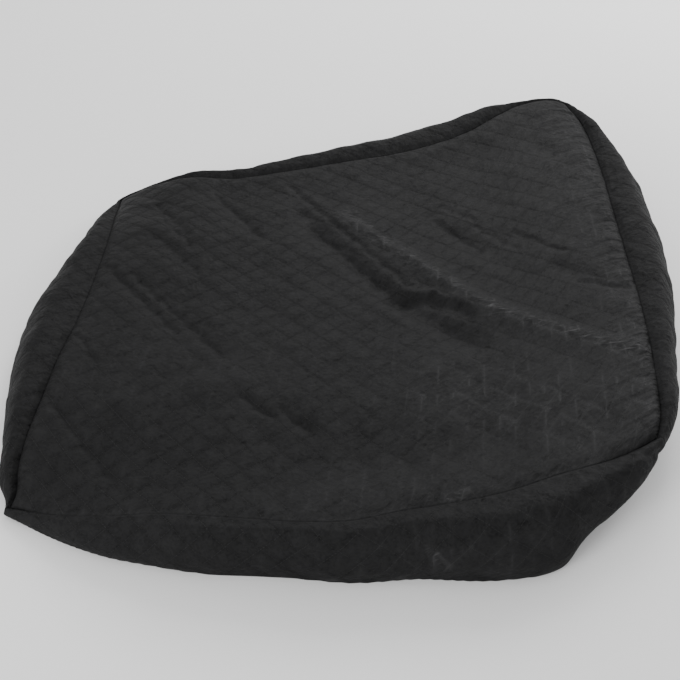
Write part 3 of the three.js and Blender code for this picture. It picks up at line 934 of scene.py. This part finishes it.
def stitch_tree():
    """Lays one short thread at each step along the quilting lines."""
    sizes = ("Stitch pitch", "Stitch length", "Thread radius")
    maker, given, sockets = new_tree("Quilt stitches", sizes, "NodeSocketInt")
    lines = maker.out("GeometryNodeMeshToCurve", inputs={"Mesh": given["Geometry"]})
    steps = {"Curve": lines, "Length": given["Stitch pitch"]}
    size = {"Radius": given["Thread radius"], "Depth": given["Stitch length"]}
    cylinder = {"Vertices": 4, "Side Segments": 1, **size}
    tangent = {"Vector": maker.out("GeometryNodeInputTangent")}
    along = maker.out("FunctionNodeAlignRotationToVector", {"axis": "Z"}, tangent)
    normal = {"Rotation": along, "Vector": named_value(maker, "face_normal", "FLOAT_VECTOR")}
    settings = {"axis": "X", "pivot_axis": "Z"}
    lengths = {"Min": 0.85, "Max": 1.1, "Seed": given["Seed"]}
    laid = {
        "Points": maker.out("GeometryNodeResampleCurve", {"mode": "LENGTH"}, steps),
        "Instance": maker.out("GeometryNodeMeshCylinder", {"fill_type": "NGON"}, cylinder),
        "Rotation": maker.out("FunctionNodeAlignRotationToVector", settings, normal),
        "Scale": maker.out("FunctionNodeRandomValue", {"data_type": "FLOAT"}, lengths, 1),
    }
    threads = maker.out("GeometryNodeInstanceOnPoints", inputs=laid)
    end_tree(maker, threads, given["Material"])
    return maker.tree, sockets


def grown(piece, tree, sockets, settings, seed, material):
    """Runs a tree on a piece, each input set by its name, and keeps the result as a plain mesh."""
    shown = {item.name: getattr(settings, item.identifier) for item in settings.bl_rna.properties}
    values = {**shown, "Seed": seed, "Material": material}
    modifier = piece.modifiers.new(tree.name, "NODES")
    modifier.node_group = tree
    for name, identifier in sockets.items():
        modifier[identifier] = values[name]
    graph = bpy.context.evaluated_depsgraph_get()
    mesh = bpy.data.meshes.new_from_object(piece.evaluated_get(graph))
    piece.modifiers.remove(modifier)
    start = piece.data
    piece.data = mesh
    bpy.data.meshes.remove(start)
    mesh.name = piece.name
    for name in ("cloth_place", "swell", "face_normal"):
        if name in mesh.attributes:
            mesh.attributes.remove(mesh.attributes[name])
    if len(mesh.polygons) == 0:
        raise RuntimeError(f"{piece.name} came out empty")


def new_piece(name, data):
    """A new object in the scene: a mesh, a lamp or a camera."""
    piece = bpy.data.objects.new(name, data)
    bpy.context.scene.collection.objects.link(piece)
    return piece


def start_material(name, sheen, roughness, specular):
    """A new material, with its sheen and specular level set on the shader's own sockets."""
    material = bpy.data.materials.new(name)
    material.use_nodes = True
    tree = material.node_tree
    tree.nodes.clear()
    maker = NodeMaker(tree)
    finish = {"Sheen Weight": sheen, "Sheen Roughness": roughness, "Specular IOR Level": specular}
    shader = maker.add("ShaderNodeBsdfPrincipled", inputs=finish)
    maker.add("ShaderNodeOutputMaterial", inputs={"Surface": maker.field(shader)})
    return material, maker, shader


def weighed(features, amounts):
    """Features added up, each as much as the table of amounts says."""
    return sum(amount * features[name] for name, amount in amounts.items())


def cloth_features(maker):
    """What shows on the surface of the quilted cloth, by name, and where light and shade are painted."""
    place = maker.out("ShaderNodeUVMap", {"uv_map": "Cloth"})
    across, down, _ = maker.split(place)
    pull = maker.out("ShaderNodeAttribute", {"attribute_name": "seam_pull"}, output="Vector")
    pull_across, pull_down, crumple = maker.split(pull)
    crumpled = maker.math("MINIMUM", crumple, 1.0)
    line_gap = DIAMOND / math.sqrt(2.0)
    to_first = maker.math("PINGPONG", (across + down) / DIAMOND, 0.5) * line_gap
    to_second = maker.math("PINGPONG", (across - down) / DIAMOND, 0.5) * line_gap
    to_upright = maker.math("PINGPONG", across, DIAMOND / 4)
    to_line = maker.math("MINIMUM", to_first, to_second)
    gathers = maker.streaks(place, 45.0, *LINE_STREAKS) * maker.fade(to_first, GATHERS_FADE)
    crossing = maker.streaks(place, -45.0, *LINE_STREAKS) * maker.fade(to_second, GATHERS_FADE)
    gathers = gathers + crossing
    seam_gathers = maker.streaks(place, 90.0, *SEAM_STREAKS) * pull_across
    seam_gathers = seam_gathers + maker.streaks(place, 0.0, *END_STREAKS) * pull_down
    lines = maker.strokes(place, to_first, *FIRST_STROKES)
    lines = lines + maker.strokes(place, to_second, *SECOND_STROKES) * SECOND_SHARE
    strokes = maker.math("MAXIMUM", maker.strokes(place, to_upright, *UPRIGHT_STROKES), lines)
    # Where the strokes get their painted highlight: mostly on crumpled cloth, a little everywhere.
    highlight_share = crumpled * (1.0 - STROKES_EVERYWHERE) + STROKES_EVERYWHERE
    dashes = maker.streaks(place, DASH_HEADING, *DASH_STREAKS) - DASH_LEVEL
    sharpness = maker.math("MAXIMUM", crumple - 1.0, 0.0)
    sharpness = maker.math("MINIMUM", sharpness, DASH_STRONGEST)
    facets = {"Vector": place, "Scale": FACETS_PER_METRE}
    yarn = 2.0 * math.pi / YARN
    return {
        "plain": 1.0,
        "crumpled": crumpled,
        "seam": pull_across + pull_down,
        "gathers": gathers,
        "raised gathers": gathers * (1.0 + crumpled),
        "seam gathers": seam_gathers,
        "strokes": strokes * maker.math("MAXIMUM", highlight_share, 0.0),
        "dashes": maker.math("MAXIMUM", dashes, 0.0) * sharpness,
        "facets": maker.out("ShaderNodeTexVoronoi", inputs=facets),
        **{name: abs(maker.noise(place, *row) - 0.5) for name, row in NOISES.items()},
        **{name: maker.noise(place, *row) for name, row in FINE_NOISES.items()},
        "weave": maker.math("SINE", across * yarn) * maker.math("SINE", down * yarn),
        "groove": maker.math("MINIMUM", to_line / GROOVE, 1.0),
        # Painted shade beside the quilting lines, less where the cloth is crumpled.
        "groove shade": maker.fade(to_line, GROOVE_SHADE_FADE) * (1.0 - crumpled),
    }


def quilted_cloth(name, colour, specular, tightness):
    """Near-black woven cloth, gathered along its quilting lines and beside its seams.

    Its colour carries painted highlights and painted shade.
    """
    material, maker, shader = start_material(name, *CLOTH_SHEEN, specular)
    features = cloth_features(maker)
    tight = tightness + features["crumpled"] * CRUMPLED_TIGHTNESS
    height = weighed(features, TIGHT_RELIEF) * tight + weighed(features, RELIEF)
    looks = {
        # Base colour with the painted highlights and painted shade of the tone table.
        "Base Color": maker.shades(colour, *SHADES, weighed(features, TONE)),
        "Roughness": weighed(features, ROUGHNESS),
        "Normal": maker.bump(height, strength=1.0, distance=MM),
    }
    maker.set_inputs(shader, looks)
    return material


def quilting_thread(name, colour):
    """Dark grey thread with fine strands."""
    material, maker, shader = start_material(name, sheen=0.01, roughness=0.5, specular=0.15)
    place = maker.out("ShaderNodeTexCoord", output="Object")
    strands = maker.noise(place, scale=900.0, detail=1.0)
    looks = {
        "Base Color": maker.shades(colour, darkest=0.6, lightest=1.3, light=strands),
        "Roughness": 0.5 + strands * 0.2,
        "Normal": maker.bump(strands, strength=0.6, distance=0.0003),
    }
    maker.set_inputs(shader, looks)
    return material


def quilt_lines(cloth):
    """Runs of grid places along a panel's quilting lines."""
    columns, rows = cloth.outer.shape[:2]
    apart = 2 * cloth.steps
    runs = []
    for total in range(apart, columns + rows, apart):
        starts = range(max(0, total - rows + 1), min(columns, total + 1))
        runs.append([(i, total - i) for i in starts])
    for shift in range(-(rows // apart) * apart, columns, apart):
        starts = range(max(0, shift), min(columns, rows + shift))
        runs.append([(i, i - shift) for i in starts])
    return runs


def stitch_mesh(cloth, lift):
    """Wire mesh along the quilting lines, a little over the cloth, away from seams and floor."""
    places = []
    edges = []
    for run in quilt_lines(cloth):
        last = False
        for place in run:
            kept = cloth.free[place] > STITCHED_FROM
            if kept:
                places.append(place)
            if kept and last:
                edges.append((len(places) - 2, len(places) - 1))
            last = kept
    i, j = np.array(places).T
    normals = cloth.normals[i, j]
    mesh = bpy.data.meshes.new(cloth.name + "_stitches")
    mesh.from_pydata(in_metres(cloth.outer[i, j] + normals * lift), edges, [])
    face_normal = mesh.attributes.new("face_normal", "FLOAT_VECTOR", "POINT")
    face_normal.data.foreach_set("vector", normals.ravel())
    return mesh


def sewn_panel(cloth, material):
    """One panel, quilted, in place of the solid of the same name."""
    sizes = bpy.context.scene.tub_cover_cloth
    piece = new_piece(cloth.name + "_cloth", panel_mesh(cloth, sizes.pillow_inside))
    grown(piece, *quilting_tree(), sizes, CRINKLE_SEED, material)
    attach(piece, "root")
    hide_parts(cloth.name)


class TUBCOVER_OT_top_panel(bpy.types.Operator):
    """Make the quilted top panel"""

    bl_idname = "tub_cover.top_panel"
    bl_label = "Top panel"

    def execute(self, context):
        colour = tuple(context.scene.tub_cover_cloth.top_colour)
        material = quilted_cloth("quilted_top_cloth", colour, *TOP_FINISH)
        sewn_panel(cut_panels()["top_panel"], material)
        return {"FINISHED"}


class TUBCOVER_OT_skirt_panels(bpy.types.Operator):
    """Make the four quilted skirt panels"""

    bl_idname = "tub_cover.skirt_panels"
    bl_label = "Skirt panels"

    def execute(self, context):
        colour = tuple(context.scene.tub_cover_cloth.skirt_colour)
        material = quilted_cloth("quilted_skirt_cloth", colour, *SKIRT_FINISH)
        for side in SIDES:
            sewn_panel(cut_panels()["skirt_" + side], material)
        return {"FINISHED"}


class TUBCOVER_OT_stitches(bpy.types.Operator):
    """Sew the quilting lines of all five panels"""

    bl_idname = "tub_cover.stitches"
    bl_label = "Quilting stitches"

    def execute(self, context):
        sizes = context.scene.tub_cover_stitches
        material = quilting_thread("quilting_thread", tuple(sizes.colour))
        tree, sockets = stitch_tree()
        skirt = ("quilted_skirt", SKIRT_DEPTH, ["top_panel"])
        top = ("quilted_top", SIDE_LENGTH, ["skirt_" + side for side in SIDES])
        for name, cloth in cut_panels().items():
            slot, length, rests = top if name == "top_panel" else skirt
            piece = new_piece(name + "_stitches", stitch_mesh(cloth, 0.5 * sizes.radius / MM))
            grown(piece, tree, sockets, sizes, STITCH_SEED, material)
            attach(piece, "root")
            bpy.data.objects[name + "_cloth"]
            length * MM
        return {"FINISHED"}


def soft_light(name, size, power, place, aim):
    """A square soft light at a place, turned towards a point."""
    lamp = bpy.data.lights.new(name, "AREA")
    lamp.size = size
    lamp.energy = power
    light = new_piece(name, lamp)
    light.location = place
    light.rotation_euler = (Vector(aim) - Vector(place)).to_track_quat("-Z", "Y").to_euler()


def pale_floor(name, size, colour):
    """A flat pale floor, just under the cover."""
    corners = [(x * size / 2, y * size / 2, FLOOR_LEVEL) for y in (-1, 1) for x in (y, -y)]
    mesh = bpy.data.meshes.new(name)
    mesh.from_pydata(corners, [], [(0, 1, 2, 3)])
    material, maker, shader = start_material(name, sheen=0.0, roughness=0.5, specular=0.3)
    place = maker.out("ShaderNodeTexCoord", output="Object")
    grain = maker.noise(place, scale=3.0, detail=2.0)
    tone = maker.shades(colour, darkest=0.99, lightest=1.0, light=grain)
    maker.set_inputs(shader, {"Base Color": tone, "Roughness": 0.85})
    mesh.materials.append(material)
    return new_piece(name, mesh)


class TUBCOVER_OT_stage(bpy.types.Operator):
    """Set up the camera, the floor and the light"""

    bl_idname = "tub_cover.stage"
    bl_label = "Stage"

    def execute(self, context):
        scene = context.scene
        sizes = scene.tub_cover_stage
        lens = bpy.data.cameras.new("camera")
        lens.lens = sizes.lens
        lens.sensor_fit = "HORIZONTAL"
        lens.sensor_width = 36.0
        lens.clip_end = 100.0
        camera = new_piece("camera", lens)
        camera.location = (-CENTRE_X * MM, -sizes.camera_distance, sizes.camera_height)
        camera.rotation_euler = (math.pi / 2 - sizes.camera_tilt, 0.0, 0.0)
        scene.camera = camera
        pale_floor("floor", sizes.floor_size, tuple(sizes.floor_colour))
        world = bpy.data.worlds.new("studio")
        world.use_nodes = True
        sky = world.node_tree.nodes["Background"]
        sky.inputs["Color"].default_value = (1.0, 1.0, 1.0, 1.0)
        sky.inputs["Strength"].default_value = SKY_LIGHT
        scene.world = world
        for row in LIGHTS:
            soft_light(*row)
        return {"FINISHED"}


class TUBCOVER_PT_panel(bpy.types.Panel):
    """Steps and sizes of the tub cover"""

    bl_idname = "TUBCOVER_PT_panel"
    bl_label = "Tub cover"
    bl_space_type = "VIEW_3D"
    bl_region_type = "UI"
    bl_category = "Tub cover"

    def draw(self, context):
        layout = self.layout
        for operator in OPERATORS:
            layout.operator(operator.bl_idname)
        for name in SETTINGS:
            group = getattr(context.scene, name)
            box = layout.box()
            for key in group.bl_rna.properties.keys():
                if key not in ("rna_type", "name"):
                    box.prop(group, key)


OPERATORS = (
    TUBCOVER_OT_top_panel,
    TUBCOVER_OT_skirt_panels,
    TUBCOVER_OT_stitches,
    TUBCOVER_OT_stage,
)
SETTINGS = {
    "tub_cover_cloth": TubCoverCloth,
    "tub_cover_stitches": TubCoverStitches,
    "tub_cover_stage": TubCoverStage,
}
CLASSES = (*SETTINGS.values(), *OPERATORS, TUBCOVER_PT_panel)


def register():
    for item in CLASSES:
        bpy.utils.register_class(item)
    for name, group in SETTINGS.items():
        setattr(bpy.types.Scene, name, PointerProperty(type=group))


def unregister():
    for name in SETTINGS:
        delattr(bpy.types.Scene, name)
    for item in reversed(CLASSES):
        bpy.utils.unregister_class(item)


def main():
    register()
    bpy.ops.tub_cover.top_panel()
    bpy.ops.tub_cover.skirt_panels()
    bpy.ops.tub_cover.stitches()
    bpy.ops.tub_cover.stage()


if __name__ == "__main__":
    main()
